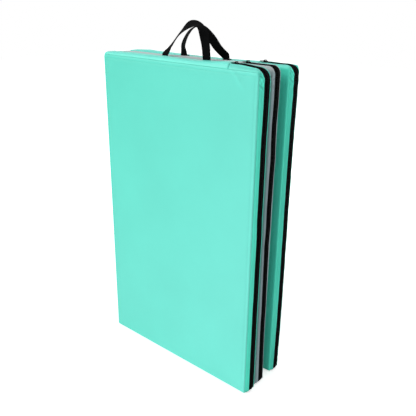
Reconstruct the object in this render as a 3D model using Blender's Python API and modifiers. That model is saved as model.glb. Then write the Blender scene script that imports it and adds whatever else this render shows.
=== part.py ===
"""Tri-fold gymnastics mat, folded like a Z and standing on edge. Metres, +Z up.

The origin is the middle of the middle panel's base, on the floor. X runs across the panels,
with their zips at +X, and Y runs from the front panel to the rear one. Each panel is a foam
core in a boxed cover: two face sheets, a plain boxing, two zip walls, and a zip that wraps
round the right side and both right corners. Fold strips join the panels, and the front and
rear panels hang on empties that stand on the fold axes.
"""

import math

import bmesh
import bpy
from mathutils import Matrix, Vector

# Panels: sizes are from seam to seam, as the foam is cut
PANEL_WIDTH = 0.600
PANEL_HEIGHT = 1.000
PANEL_THICKNESS = 0.050
PANEL_SPACING = 0.001
FAN_ANGLE = math.radians(4.0)
FACE_CROWN = 0.0015
CROWN_INSET = 0.090

# Covers: a bulge is how far a side wall's crest stands out from the seams, and a rise is how far
# the top wall's does
FRONT_BULGE = 0.009
MIDDLE_BULGE = 0.005
REAR_BULGE = 0.009
FRONT_RISE = 0.012
MIDDLE_RISE = 0.0105
REAR_RISE = 0.0055
CREST_FLAT = 0.0115
WALL_ARC = 0.25
BASE_LIFT = 0.004
BASE_BULGE = 0.006
VINYL = 0.0008
EDGE_RADIUS = 0.004
FACE_CORNER_RADIUS = 0.008
ZIP_CORNER_DRAW = 2.5
PLAIN_CORNER_DRAW = 1.0
CORNER_LIMIT = 1.5
CORNER_STEPS = 6
EDGE_STEPS = 3
WALL_STEPS = 16
ZIP_WALL_STEPS = 3

# Clearances between sewn pieces, and from each cover to its foam
GAP = 0.0003
FOAM_EDGE_RADIUS = 0.006

# Zips
ZIP_RETURN = 0.102
ZIP_OPENING = 0.020
HEM_WIDTH = 0.003
HEM_RISE = 0.0005
TAPE_THICKNESS = 0.0006
TAPE_UNDERLAP = 0.004
TAPE_TAIL = 0.014
COIL_WIDTH = 0.006
COIL_HEIGHT = 0.002
SLIDER_LENGTH = 0.012
SLIDER_WALL = 0.0012
SLIDER_FLARE = 0.0006
SLIDER_NOSE = 0.002
SLIDER_INSET = 0.012
BRIDGE_WIDTH = 0.0022
BRIDGE_WALL = 0.0010
BRIDGE_SPAN = 0.0086
PULL_LENGTH = 0.019
PULL_WIDTH = 0.008
PULL_THICKNESS = 0.0012
PULL_BAR = 0.0016
PULL_EYE = 0.0054
PULL_DROOP = math.radians(7.0)

# Fold strips
FOLD_CLEARANCE = 0.0004
FOLD_VINYL = 0.0006
FOLD_END_INSET = 0.012
FOLD_CORNER = 0.014

# Handles: a loop's keys are x from the handles' middle, height over its hinge, lean towards the
# other handle, and twist from edge-on (0) to flat to the panel (90)
HANDLE_TO_ZIP = 0.198
WEBBING_WIDTH = 0.025
WEBBING = 0.0015
END_HEIGHT = 0.0123
END_TUCK = 0.012
TUCK_STEPS = 4
HINGE_RISE = 0.001
LOOP_END = 0.00045
LOOP_STEPS = 6
FOOT_RUN = 0.010
FRONT_LOOP = (
    (-0.074, 0.000, 0.000, 90),
    (-0.065, 0.028, 0.014, 45),
    (-0.029, 0.062, 0.013, 38),
    (0.014, 0.087, 0.014, 65),
    (0.053, 0.086, 0.011, 15),
    (0.073, 0.047, 0.005, 65),
    (0.086, 0.000, 0.000, 90),
)
REAR_LOOP = (
    (-0.068, 0.000, 0.000, 90),
    (-0.067, 0.025, 0.005, 65),
    (-0.032, 0.061, 0.018, 40),
    (0.012, 0.079, 0.026, 12),
    (0.045, 0.052, 0.022, 50),
    (0.073, 0.022, 0.018, 85),
    (0.090, 0.000, 0.000, 90),
)

MINT = (0.153, 0.780, 0.590)
GREY = (0.235, 0.290, 0.315)
BLACK = (0.012, 0.012, 0.014)
FOAM = (0.80, 0.80, 0.78)

SEAM_DEPTH = PANEL_THICKNESS / 2 - EDGE_RADIUS
WALL_DEPTH = SEAM_DEPTH - GAP
PITCH = PANEL_THICKNESS + PANEL_SPACING
TOP_SEAM = BASE_LIFT + PANEL_HEIGHT
TAPE_TOP = -(VINYL + GAP)
TAPE_BOTTOM = TAPE_TOP - TAPE_THICKNESS
COIL_BOTTOM = TAPE_TOP + GAP
COIL_TOP = COIL_BOTTOM + COIL_HEIGHT
FOLD_REACH = (max(FRONT_BULGE, REAR_BULGE) + MIDDLE_BULGE) / 2 + COIL_TOP + FOLD_CLEARANCE
STRAP_DEPTH = WALL_DEPTH - WEBBING / 2
HINGE_HEIGHT = TOP_SEAM + END_HEIGHT + HINGE_RISE
HANDLE_MIDDLE = PANEL_WIDTH / 2 - ZIP_RETURN - HANDLE_TO_ZIP
MERGE = 0.00001
AXIS_TURNS = {
    "X": Matrix(((0, 0, 1), (1, 0, 0), (0, 1, 0))),
    "Y": Matrix(((1, 0, 0), (0, 0, -1), (0, 1, 0))),
    "Z": Matrix.Identity(3),
}


def clear_scene():
    """Remove whatever the opened file holds."""
    for obj in list(bpy.data.objects):
        bpy.data.objects.remove(obj, do_unlink=True)


def make_collection(name):
    """A collection linked to the scene."""
    collection = bpy.data.collections.new(name)
    bpy.context.scene.collection.children.link(collection)
    return collection


def make_material(name, colour, roughness, metallic=0.0):
    """A Principled material of one colour."""
    material = bpy.data.materials.new(name)
    material.use_nodes = True
    shader = material.node_tree.nodes["Principled BSDF"]
    shader.inputs["Base Color"].default_value = (*colour, 1.0)
    shader.inputs["Roughness"].default_value = roughness
    shader.inputs["Metallic"].default_value = metallic
    return material


def add_object(name, mesh, material, parent=None, sharp_angle=30):
    """Put a mesh in the part's collection with its material, smooth where it is round."""
    obj = bpy.data.objects.new(name, mesh)
    PARTS.objects.link(obj)
    mesh.materials.clear()
    mesh.materials.append(material)
    mesh.shade_smooth()
    mesh.set_sharp_from_angle(angle=math.radians(sharp_angle))
    obj.parent = parent
    return obj


def add_empty(name, location, turn=(0.0, 0.0, 0.0), parent=None):
    """An empty that stands on a joint's axis."""
    empty = bpy.data.objects.new(name, None)
    PARTS.objects.link(empty)
    empty.empty_display_size = 0.02
    empty.location = location
    empty.rotation_euler = turn
    empty.parent = parent
    return empty


def loft(rings):
    """Bridge rings of equal counts, and cap both ends."""
    bm = bmesh.new()
    loops = [[bm.verts.new(point) for point in ring] for ring in rings]
    count = len(rings[0])
    for low, high in zip(loops, loops[1:]):
        for i in range(count):
            j = (i + 1) % count
            bm.faces.new((low[i], low[j], high[j], high[i]))
    bm.faces.new(list(reversed(loops[0])))
    bm.faces.new(loops[-1])
    bmesh.ops.recalc_face_normals(bm, faces=bm.faces)
    mesh = bpy.data.meshes.new("loft")
    bm.to_mesh(mesh)
    bm.free()
    return mesh


def wall_share(depth):
    """How much of its bulge a wall has at a depth: 0 at the seams and 1 on the level crest."""
    span = SEAM_DEPTH - CREST_FLAT
    past = min(max(abs(depth) - CREST_FLAT, 0.0), span)
    radius = (span**2 + (WALL_ARC * span) ** 2) / (2 * WALL_ARC * span)
    rise = math.sqrt(radius**2 - past**2) - (radius - WALL_ARC * span)
    return max(rise / (WALL_ARC * span), 0.0)


class Outline:
    """The rounded outline that a panel's wall follows, at any depth and offset from its skin."""

    def __init__(self, bulge, rise):
        self.bulge = bulge
        self.rise = rise

    def at(self, station, depth, offset):
        """The point (x, z) of a station, for a depth from the mid plane and an outward offset."""
        share = wall_share(depth)
        half = PANEL_WIDTH / 2 + share * self.bulge
        top = TOP_SEAM + share * self.rise
        low = BASE_LIFT - share * BASE_BULGE
        kind, value = station
        draw = ZIP_CORNER_DRAW if kind.endswith("right") else PLAIN_CORNER_DRAW
        end_bulge = BASE_BULGE if kind.startswith("base") else self.rise
        drawn = min(self.bulge, CORNER_LIMIT * end_bulge)
        radius = FACE_CORNER_RADIUS + share * draw * drawn
        if kind == "top":
            x, z = value, top + offset
        elif kind == "base":
            x, z = value, low - offset
        else:
            side = 1 if kind in ("top_right", "base_right") else -1
            centre_z = top - radius if kind.startswith("top") else low + radius
            x = side * (half - radius + (radius + offset) * math.cos(value))
            z = centre_z + (radius + offset) * math.sin(value)
        return x, max(z, -min(offset, 0.0))


def corner(kind, start, end):
    """Stations round one corner, by the angle of the wall's normal in degrees."""
    steps = [start + (end - start) * i / CORNER_STEPS for i in range(CORNER_STEPS + 1)]
    return [(kind, math.radians(step)) for step in steps]


def zip_stations(tail=0.0):
    """From the zip's end on top, round the right side, to its end on the base."""
    end = PANEL_WIDTH / 2 - ZIP_RETURN - tail
    right = corner("top_right", 90, 0) + corner("base_right", 0, -90)
    return [("top", end), *right, ("base", end)]


def plain_stations():
    """From the zip's end on top, round the left side, to its end on the base."""
    end = PANEL_WIDTH / 2 - ZIP_RETURN - GAP
    left = corner("top_left", 90, 0) + corner("base_left", 0, -90)
    return [("top", end), *left, ("base", end)]


def face_stations():
    """All the way round."""
    right = corner("top_right", 90, 0) + corner("base_right", 0, -90)
    left = corner("base_left", -90, 0) + corner("top_left", 0, 90)
    return right + left


def sweep_section(outline, stations, section, mid):
    """Sweep a closed section of (depth, offset) points along stations of the outline."""
    rings = []
    for station in stations:
        ring = []
        for depth, offset in section:
            x, z = outline.at(station, depth, offset)
            ring.append((x, mid + depth, z))
        rings.append(ring)
    return loft(rings)


def band(start, end, steps, outer, inner):
    """A closed section between two depths, with an outer and an inner offset."""
    depths = [start + (end - start) * i / steps for i in range(steps + 1)]
    return [(d, outer) for d in depths] + [(d, inner) for d in reversed(depths)]


def plain_boxing(outline, mid):
    """The wall without a zip, from seam to seam."""
    section = band(-WALL_DEPTH, WALL_DEPTH, WALL_STEPS, 0.0, -VINYL)
    return sweep_section(outline, plain_stations(), section, mid)


def zip_wall(outline, mid, side):
    """The wall beside the zip, from a seam to its folded hem."""
    hem = ZIP_OPENING / 2
    fold = hem + HEM_WIDTH
    wall = band(WALL_DEPTH, fold, ZIP_WALL_STEPS, 0.0, -VINYL)
    raised = [(fold - HEM_RISE, HEM_RISE), (hem + HEM_RISE, HEM_RISE), (hem, 0.0), (hem, -VINYL)]
    half = ZIP_WALL_STEPS + 1
    section = wall[:half] + raised + wall[half:]
    section = [(side * depth, offset) for depth, offset in section]
    return sweep_section(outline, zip_stations(), section, mid)


def zip_tape(outline, mid, side):
    """One tape, from under the coil to under the hem."""
    start = COIL_WIDTH / 4
    end = ZIP_OPENING / 2 + TAPE_UNDERLAP
    section = band(start, end, 3, TAPE_TOP, TAPE_BOTTOM)
    section = [(side * depth, offset) for depth, offset in section]
    return sweep_section(outline, zip_stations(TAPE_TAIL), section, mid)


def zip_coil(outline, mid):
    """The closed chain along the middle of the zip, from the slider to the base end."""
    half = COIL_WIDTH / 2
    section = [
        (-half, COIL_BOTTOM),
        (-half, COIL_BOTTOM + COIL_HEIGHT / 2),
        (-half / 2, COIL_TOP),
        (half / 2, COIL_TOP),
        (half, COIL_BOTTOM + COIL_HEIGHT / 2),
        (half, COIL_BOTTOM),
    ]
    stations = zip_stations()
    stations[0] = ("top", slider_x() - SLIDER_LENGTH / 2 + SLIDER_WALL * 3)
    return sweep_section(outline, stations, section, mid)


def face_sheet(outline, mid, side, crown):
    """A face sheet: flat or crowned, rolled over its edge and down to the seam."""
    stations = face_stations()
    half = PANEL_THICKNESS / 2

    def rings(skin):
        """Rings of one skin, from the seam to the middle; skin is 0 outside, VINYL inside."""
        found = []
        for i in range(EDGE_STEPS + 1):
            angle = math.radians(90 * i / EDGE_STEPS)
            inset = EDGE_RADIUS * (1 - math.cos(angle)) + skin * math.cos(angle)
            depth = SEAM_DEPTH + (EDGE_RADIUS - skin) * math.sin(angle)
            found.append([seam_point(outline, s, inset, depth) for s in stations])
        if crown:
            ring = [seam_point(outline, s, EDGE_RADIUS, half) for s in stations]
            found.append(inset_ring(ring, CROWN_INSET, half - skin + crown))
        return [[(x, mid + side * d, z) for x, d, z in ring] for ring in found]

    return loft(list(reversed(rings(0.0))) + rings(VINYL))


def seam_point(outline, station, inset, depth):
    """A point on the face's outline, drawn in from the seam."""
    x, z = outline.at(station, SEAM_DEPTH, 0.0)
    kind, angle = station
    side = 1 if kind in ("top_right", "base_right") else -1
    return x - side * inset * math.cos(angle), depth, z - inset * math.sin(angle)


def inset_ring(ring, inset, depth):
    """A ring drawn in towards the face's middle by the same distance on every side."""
    middle_z = BASE_LIFT + PANEL_HEIGHT / 2
    share_x = 1 - inset / (PANEL_WIDTH / 2)
    share_z = 1 - inset / (PANEL_HEIGHT / 2)
    return [(x * share_x, depth, middle_z + (z - middle_z) * share_z) for x, _, z in ring]


def foam_core(outline, mid):
    """The foam slab, with its edges eased where the sheets roll over them."""
    clear = VINYL + GAP
    flat = PANEL_THICKNESS / 2 - clear
    levels = []
    for i in range(EDGE_STEPS + 1):
        angle = math.radians(90 * i / EDGE_STEPS)
        inset = clear + FOAM_EDGE_RADIUS * (1 - math.sin(angle))
        levels.append((inset, flat - FOAM_EDGE_RADIUS * (1 - math.cos(angle))))
    levels += [(inset, -depth) for inset, depth in reversed(levels)]
    rings = []
    for inset, depth in levels:
        ring = [seam_point(outline, station, inset, depth) for station in face_stations()]
        rings.append([(x, mid + d, z) for x, d, z in ring])
    return loft(rings)


def flat_curve(name, points, depth, cyclic):
    """An object of one 2D curve with thickness along its Z, filled if it is closed."""
    curve = bpy.data.curves.new(name, "CURVE")
    curve.dimensions = "2D"
    curve.fill_mode = "BOTH" if cyclic else "NONE"
    curve.extrude = depth / 2
    spline = curve.splines.new("POLY")
    spline.points.add(len(points) - 1)
    for point, (a, b) in zip(spline.points, points):
        point.co = (a, b, 0.0, 1.0)
    spline.use_cyclic_u = cyclic
    obj = bpy.data.objects.new(name, curve)
    CUTTERS.objects.link(obj)
    return obj


def take_mesh(obj):
    """The welded mesh that an object evaluates to; the object is removed."""
    bpy.context.view_layer.update()
    graph = bpy.context.evaluated_depsgraph_get()
    mesh = bpy.data.meshes.new_from_object(obj.evaluated_get(graph))
    mesh.name = obj.name
    bpy.data.objects.remove(obj)
    bm = bmesh.new()
    bm.from_mesh(mesh)
    bmesh.ops.remove_doubles(bm, verts=bm.verts, dist=MERGE)
    bmesh.ops.recalc_face_normals(bm, faces=bm.faces)
    bm.to_mesh(mesh)
    bm.free()
    return mesh


def flat_piece(name, outline, low, high, axis):
    """A closed outline of (a, b) points, given thickness from low to high along an axis."""
    mesh = take_mesh(flat_curve(name, outline, high - low, True))
    middle = (low + high) / 2
    shifts = {"X": (middle, 0, 0), "Y": (0, middle, 0), "Z": (0, 0, middle)}
    mesh.transform(Matrix.Translation(shifts[axis]) @ AXIS_TURNS[axis].to_4x4())
    return mesh


def cutter(name, mesh):
    """A guide that only cuts or joins."""
    obj = bpy.data.objects.new(name, mesh)
    CUTTERS.objects.link(obj)
    obj.hide_render = True
    obj.display_type = "WIRE"
    return obj


def add_boolean(obj, tool, operation):
    """Cut or join with the exact solver."""
    modifier = obj.modifiers.new(tool.name, "BOOLEAN")
    modifier.operation = operation
    modifier.solver = "EXACT"
    modifier.object = tool


def shaped(blank, steps):
    """The blank's mesh after its cuts and joins, as (operation, mesh) pairs."""
    obj = cutter(blank.name, blank)
    tools = [cutter(mesh.name, mesh) for _, mesh in steps]
    for tool, (operation, _) in zip(tools, steps):
        add_boolean(obj, tool, operation)
    mesh = take_mesh(obj)
    for tool in tools:
        bpy.data.objects.remove(tool)
    return mesh


def slider_x():
    """Where the slider is parked, at the zip's end on top."""
    return PANEL_WIDTH / 2 - ZIP_RETURN + SLIDER_INSET


def slider_roof():
    """Height over the crest of the slider's upper plate."""
    return COIL_TOP + GAP + SLIDER_WALL


def around_post(half_width):
    """What a slider's inside clears: all of a lane but the post between the two mouths."""
    far = 2 * SLIDER_LENGTH
    post = COIL_WIDTH / 4 - GAP
    nose = 2 * SLIDER_WALL - SLIDER_LENGTH / 2
    shoulder = nose - post
    upper = [(-far, half_width), (-far, post), (shoulder, post)]
    lower = [(x, -y) for x, y in reversed(upper)]
    return [(far, -half_width), (far, half_width)] + upper + [(nose, 0.0)] + lower


def slider_bridge(top):
    """The arch over the upper plate that the pull's bar turns in, as an outline in X and Z."""
    half = BRIDGE_SPAN / 2
    foot = top - GAP
    crown = top + bridge_rise() + BRIDGE_WALL
    inside, ceiling = half - BRIDGE_WALL, crown - BRIDGE_WALL
    chamfer = 0.6 * BRIDGE_WALL
    right = [(half - chamfer, crown), (half, crown - chamfer), (half, foot)]
    right += [(inside, foot), (inside, ceiling - chamfer), (inside - chamfer, ceiling)]
    return right + [(-x, z) for x, z in reversed(right)]


def slider_body():
    """A cast slider: two plates and their post, flanges over the coil, and a bridge for the pull.

    Its own frame: +X along the closed chain, z = 0 on the cover's crest.
    """
    front, rear = -SLIDER_LENGTH / 2, SLIDER_LENGTH / 2
    channel = COIL_WIDTH / 2 + GAP
    narrow = channel + SLIDER_WALL
    wide = narrow + SLIDER_FLARE
    top = slider_roof()
    floor = TAPE_BOTTOM - GAP
    half_plan = [(rear, narrow), (0.0, narrow), (front + SLIDER_NOSE, wide), (front, wide - SLIDER_NOSE)]
    plan = half_plan + [(x, -y) for x, y in reversed(half_plan)]
    far = 2 * SLIDER_LENGTH
    way_floor = COIL_BOTTOM - GAP
    half_bridge = BRIDGE_WIDTH / 2
    steps = [
        ("DIFFERENCE", flat_piece("tape_slot", around_post(far), floor, COIL_BOTTOM - GAP / 2, "Z")),
        ("DIFFERENCE", flat_piece("coil_way", around_post(channel), way_floor, top - SLIDER_WALL, "Z")),
        ("UNION", flat_piece("bridge", slider_bridge(top), -half_bridge, half_bridge, "Y")),
    ]
    return shaped(flat_piece("zip_slider", plan, floor - SLIDER_WALL, top, "Z"), steps)


def bridge_rise():
    """Clear height under the bridge, for the pull's bar and its droop over the plate."""
    droop = math.tan(PULL_DROOP) * SLIDER_LENGTH / 2
    return droop + PULL_THICKNESS / 2 + PULL_BAR / 2 + 2 * GAP


def pull_axis_height():
    """Height of the pull's bar over the crest."""
    return slider_roof() + bridge_rise() - GAP - PULL_BAR / 2


def zip_pull():
    """A pull tab: a bar under the slider's bridge, two arms and a plain tab towards -X.

    Its own frame: the bar's axis is Y through the origin.
    """
    half = PULL_WIDTH / 2
    bar = PULL_BAR / 2
    end = -PULL_LENGTH
    cut = 0.4 * PULL_WIDTH
    chamfer = PULL_BAR / 2
    half_tab = [(bar, half - chamfer), (bar - chamfer, half), (end + cut, half), (end, half - cut)]
    tab = half_tab + [(x, -y) for x, y in reversed(half_tab)]
    slot = BRIDGE_WIDTH / 2 + GAP
    eye = [(-bar, -slot), (-bar, slot), (-bar - PULL_EYE, slot), (-bar - PULL_EYE, -slot)]
    thick = PULL_THICKNESS / 2
    window = flat_piece("pull_eye", eye, -2 * thick, 2 * thick, "Z")
    return shaped(flat_piece("zip_pull", tab, -thick, thick, "Z"), [("DIFFERENCE", window)])


def fold_leaf(name, side, face, hinge, mid, material, parent):
    """Half a fold strip, from a panel's seam out to the fold axis.

    side is the panel edge in X, and face the side of the panel in Y that carries it.
    """
    seam = PANEL_WIDTH / 2 + GAP
    lane = PANEL_THICKNESS / 2 + PANEL_SPACING / 2 - GAP / 2 - FOLD_VINYL / 2
    end = PANEL_WIDTH / 2 + FOLD_REACH - GAP
    bend = (seam + end) / 2
    line = [(seam, SEAM_DEPTH), (seam + VINYL, (SEAM_DEPTH + lane) / 2), (bend, lane), (end, lane)]
    points = [(side * x - hinge[0], mid + face * y - hinge[1]) for x, y in line]
    length = PANEL_HEIGHT - 2 * FOLD_END_INSET
    strip = flat_curve(name, points, length, False)
    shell = strip.modifiers.new("vinyl", "SOLIDIFY")
    shell.thickness = FOLD_VINYL
    shell.offset = 0.0
    shell.use_even_offset = True
    mesh = take_mesh(strip)
    for vertex in mesh.vertices:
        out = (side * (vertex.co.x + hinge[0]) - seam) / (end - seam)
        vertex.co.z -= math.copysign(FOLD_CORNER * max(out, 0.0), vertex.co.z)
    leaf = add_object(name, mesh, material, parent)
    leaf.location.z = BASE_LIFT + PANEL_HEIGHT / 2
    return leaf


def handle_end(name, outline, mid, side, foot):
    """A strap's sewn end: tucked under the plain boxing, and turned up past the boxing's edge."""
    outer, inner = WALL_DEPTH, WALL_DEPTH - WEBBING
    depths = [inner - END_TUCK * i / TUCK_STEPS for i in range(TUCK_STEPS + 1)]
    over = [(depth, outline.at(("top", foot), depth, 0.0)[1] - VINYL - GAP) for depth in depths]
    under = [(depth, z - WEBBING) for depth, z in reversed(over)]
    top = TOP_SEAM + END_HEIGHT
    profile = [(outer, top), (inner, top)] + over + under + [(outer, under[-1][1])]
    points = [(mid + side * depth, z) for depth, z in profile]
    return flat_piece(name, points, foot - WEBBING_WIDTH / 2, foot + WEBBING_WIDTH / 2, "X")


def handle_notch(name, mid, side, foot):
    """The box that lets a strap's end through the boxing's edge."""
    size = Vector((WEBBING_WIDTH + 2 * GAP, 2 * (WEBBING + GAP), 2 * END_HEIGHT))
    centre = Vector((foot, mid + side * WALL_DEPTH, TOP_SEAM))
    bm = bmesh.new()
    bmesh.ops.create_cube(bm, size=1.0, matrix=Matrix.LocRotScale(centre, None, size))
    mesh = bpy.data.meshes.new(name)
    bm.to_mesh(mesh)
    bm.free()
    return cutter(name, mesh)


def handle_loop(name, keys, lean, hinge, material, parent):
    """The free part of a handle: a twisting strap that stands on its hinge.

    Its own frame: X along the hinge, Y up, and Z towards the front of the mat. lean is 1 for a
    handle that leans that way and -1 for one that leans back.
    """
    curve = bpy.data.curves.new(name, "CURVE")
    curve.dimensions = "3D"
    curve.twist_mode = "Z_UP"
    curve.extrude = WEBBING_WIDTH / 2
    curve.resolution_u = LOOP_STEPS
    spline = curve.splines.new("BEZIER")
    spline.bezier_points.add(len(keys) - 1)
    for knot, (x, height, reach, twist) in zip(spline.bezier_points, keys):
        knot.co = (x, height - LOOP_END, lean * reach)
        knot.handle_left_type = "AUTO"
        knot.handle_right_type = "AUTO"
        knot.tilt = math.radians(twist)
    for knot, direction in ((spline.bezier_points[0], 1), (spline.bezier_points[-1], -1)):
        knot.handle_left_type = "FREE"
        knot.handle_right_type = "FREE"
        knot.handle_right = knot.co + Vector((0, direction * FOOT_RUN, 0))
        knot.handle_left = knot.co - Vector((0, direction * FOOT_RUN, 0))
    curve.materials.append(material)
    loop = bpy.data.objects.new(name, curve)
    PARTS.objects.link(loop)
    loop.parent = parent
    loop.location = hinge
    loop.rotation_euler = (math.radians(90), 0.0, 0.0)
    shell = loop.modifiers.new("webbing", "SOLIDIFY")
    shell.thickness = WEBBING
    shell.offset = 0.0
    return loop


def add_handle(panel, outline, mid, side, keys, shift, material, parent, boxing):
    """A handle on one panel: two sewn ends, their notches in the boxing, and the loop."""
    for place, key in (("left", keys[0]), ("right", keys[-1])):
        foot = HANDLE_MIDDLE + key[0]
        name = f"{panel}_handle_end_{place}"
        end = add_object(name, handle_end(name, outline, mid, side, foot), material, parent)
        end.location = shift
        notch = handle_notch(f"{panel}_handle_notch_{place}", mid, side, foot)
        notch.parent = parent
        notch.location = shift
        add_boolean(boxing, notch, "DIFFERENCE")
    hinge = shift + Vector((HANDLE_MIDDLE, mid + side * STRAP_DEPTH, HINGE_HEIGHT))
    handle_loop(f"{panel}_handle_loop", keys, -side, hinge, material, parent)


def add_zip_hardware(panel, mid, crest, shift, slider, pull, material, parent):
    """A parked slider and its pull."""
    spot = Vector((slider_x(), mid, crest)) + shift
    body = add_object(f"{panel}_zip_slider", slider, material, parent)
    body.location = spot
    lift = Vector((0.0, 0.0, pull_axis_height()))
    axis = add_empty(f"{panel}_pull_axis", spot + lift, (0.0, -PULL_DROOP, 0.0), parent)
    add_object(f"{panel}_zip_pull", pull, material, axis)


def add_cover(panel, outline, mid, crowns, shift, vinyl, foam, tape, parent):
    """A panel's foam, sheets, walls and zip; gives back the plain boxing."""
    pieces = [
        ("foam_core", foam_core(outline, mid), foam),
        ("face_fore", face_sheet(outline, mid, -1, crowns[0]), vinyl),
        ("face_aft", face_sheet(outline, mid, 1, crowns[1]), vinyl),
        ("zip_wall_fore", zip_wall(outline, mid, -1), vinyl),
        ("zip_wall_aft", zip_wall(outline, mid, 1), vinyl),
        ("zip_tape_fore", zip_tape(outline, mid, -1), tape),
        ("zip_tape_aft", zip_tape(outline, mid, 1), tape),
        ("zip_coil", zip_coil(outline, mid), tape),
        ("plain_boxing", plain_boxing(outline, mid), vinyl),
    ]
    for piece, mesh, material in pieces:
        mesh.name = f"{panel}_{piece}"
        obj = add_object(mesh.name, mesh, material, parent)
        obj.location = shift
    return obj


def build():
    """Everything, panel by panel."""
    mint = make_material("mint_vinyl", MINT, 0.45)
    grey = make_material("grey_vinyl", GREY, 0.5)
    tape = make_material("black_tape", BLACK, 0.8)
    metal = make_material("black_zip_metal", BLACK, 0.35, 0.6)
    foam = make_material("white_foam", FOAM, 0.9)
    webbing = make_material("black_webbing", BLACK, 0.85)
    right_fold = Vector((PANEL_WIDTH / 2 + FOLD_REACH, -PITCH / 2, 0.0))
    left_fold = Vector((-right_fold.x, PITCH / 2, 0.0))
    still = Vector((0.0, 0.0, 0.0))
    front = add_empty("front_fold_axis", right_fold)
    rear = add_empty("rear_fold_axis", left_fold, (0.0, 0.0, FAN_ANGLE))
    front_walls = Outline(FRONT_BULGE, FRONT_RISE)
    middle_walls = Outline(MIDDLE_BULGE, MIDDLE_RISE)
    rear_walls = Outline(REAR_BULGE, REAR_RISE)
    panels = (
        ("front", -PITCH, front_walls, (FACE_CROWN, 0.0), mint, front, right_fold, (1, FRONT_LOOP)),
        ("middle", 0.0, middle_walls, (0.0, 0.0), grey, None, still, None),
        ("rear", PITCH, rear_walls, (0.0, FACE_CROWN), mint, rear, left_fold, (-1, REAR_LOOP)),
    )
    slider = slider_body()
    pull = zip_pull()
    for panel, mid, outline, crowns, vinyl, parent, fold, handle in panels:
        boxing = add_cover(panel, outline, mid, crowns, -fold, vinyl, foam, tape, parent)
        crest = TOP_SEAM + outline.rise
        add_zip_hardware(panel, mid, crest, -fold, slider, pull, metal, parent)
        if handle:
            side, keys = handle
            add_handle(panel, outline, mid, side, keys, -fold, webbing, parent, boxing)
    fold_leaf("right_fold_leaf_fore", 1, 1, right_fold, -PITCH, mint, front)
    fold_leaf("right_fold_leaf_aft", 1, -1, still, 0.0, grey, None)
    fold_leaf("left_fold_leaf_fore", -1, 1, still, 0.0, grey, None)
    fold_leaf("left_fold_leaf_aft", -1, -1, left_fold, PITCH, mint, rear)


clear_scene()
PARTS = make_collection("folding_gymnastics_mat")
CUTTERS = make_collection("cutters")
build()
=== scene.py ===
"""Looks of the tri-fold gymnastics mat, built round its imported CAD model. Metres, +Z up."""

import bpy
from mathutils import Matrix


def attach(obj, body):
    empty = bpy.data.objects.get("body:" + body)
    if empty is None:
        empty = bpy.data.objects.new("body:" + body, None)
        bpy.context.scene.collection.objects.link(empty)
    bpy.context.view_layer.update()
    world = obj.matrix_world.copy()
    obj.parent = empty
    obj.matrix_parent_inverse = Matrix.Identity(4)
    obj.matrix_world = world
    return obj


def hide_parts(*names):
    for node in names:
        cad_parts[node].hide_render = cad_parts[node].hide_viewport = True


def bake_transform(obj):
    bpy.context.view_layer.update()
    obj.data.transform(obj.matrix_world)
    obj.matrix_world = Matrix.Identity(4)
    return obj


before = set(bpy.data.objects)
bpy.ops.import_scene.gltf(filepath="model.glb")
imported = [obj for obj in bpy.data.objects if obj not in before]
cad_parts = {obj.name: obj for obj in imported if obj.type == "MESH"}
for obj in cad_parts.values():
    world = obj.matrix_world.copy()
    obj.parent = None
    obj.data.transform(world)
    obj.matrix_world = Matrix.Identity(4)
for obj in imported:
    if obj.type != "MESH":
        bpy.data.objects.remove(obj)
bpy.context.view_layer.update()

import math

import bmesh
import bpy
import numpy as np
from mathutils import Matrix, Vector, noise

# Sizes that the looks share with the CAD
PANEL_WIDTH = 0.6
PANEL_HEIGHT = 1.0
PANEL_THICKNESS = 0.05
PITCH = 0.051
FAN_ANGLE = math.radians(4.0)
BASE_LIFT = 0.004
BASE_BULGE = 0.006
TOP_SEAM = BASE_LIFT + PANEL_HEIGHT
MID_HEIGHT = BASE_LIFT + PANEL_HEIGHT / 2
EDGE_RADIUS = 0.004
SEAM_DEPTH = PANEL_THICKNESS / 2 - EDGE_RADIUS
CREST_FLAT = 0.0115
WALL_ARC = 0.25
FACE_CORNER_RADIUS = 0.008
BASE_CORNER_RADIUS = 0.003
BASE_CORNER_DRAW = 0.01
ZIP_CORNER_DRAW = 2.5
PLAIN_CORNER_DRAW = 1.0
CORNER_LIMIT = 1.5
VINYL = 0.0008
ZIP_RETURN = 0.102
ZIP_END = PANEL_WIDTH / 2 - ZIP_RETURN
SLIDER_X = ZIP_END + 0.012
FOLD_X = 0.3086
FOLD_Y = 0.0255
FOLD_VINYL = 0.0006
FOLD_END_INSET = 0.012
FOLD_CORNER = 0.014
WEBBING_WIDTH = 0.025
WEBBING = 0.0015
STRAP_DEPTH = 0.01995
HINGE_HEIGHT = 1.0173
FAN = (
    Matrix.Translation((-FOLD_X, FOLD_Y, 0))
    @ Matrix.Rotation(FAN_ANGLE, 4, "Z")
    @ Matrix.Translation((FOLD_X, -FOLD_Y, 0))
)
PLACES = {"front": Matrix.Identity(4), "middle": Matrix.Identity(4), "rear": FAN}

# Each panel's middle plane, wall bulge, top's rise, face's crown on each side and material slot
MIDDLES = {"front": -PITCH, "middle": 0.0, "rear": PITCH}
BULGES = {"front": 0.009, "middle": 0.005, "rear": 0.009}
TOP_RISES = {"front": 0.012, "middle": 0.0105, "rear": 0.0055}
CROWNS = {"front": {-1: 0.0015, 1: 0.0}, "middle": {-1: 0.0, 1: 0.0}, "rear": {-1: 0.0, 1: 0.0015}}
SLOTS = {"front": "mint_vinyl", "middle": "grey_vinyl", "rear": "mint_vinyl"}
SIDES = {"fore": -1, "aft": 1}

SEED_STRIDE = (1.0, 3.7, 1.9)


def wave(*at, seed=0.0):
    """Smooth noise between about -1 and 1."""
    return noise.noise(Vector((*at, 0.0, 0.0)[:3]) + Vector([part * seed for part in SEED_STRIDE]))


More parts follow.
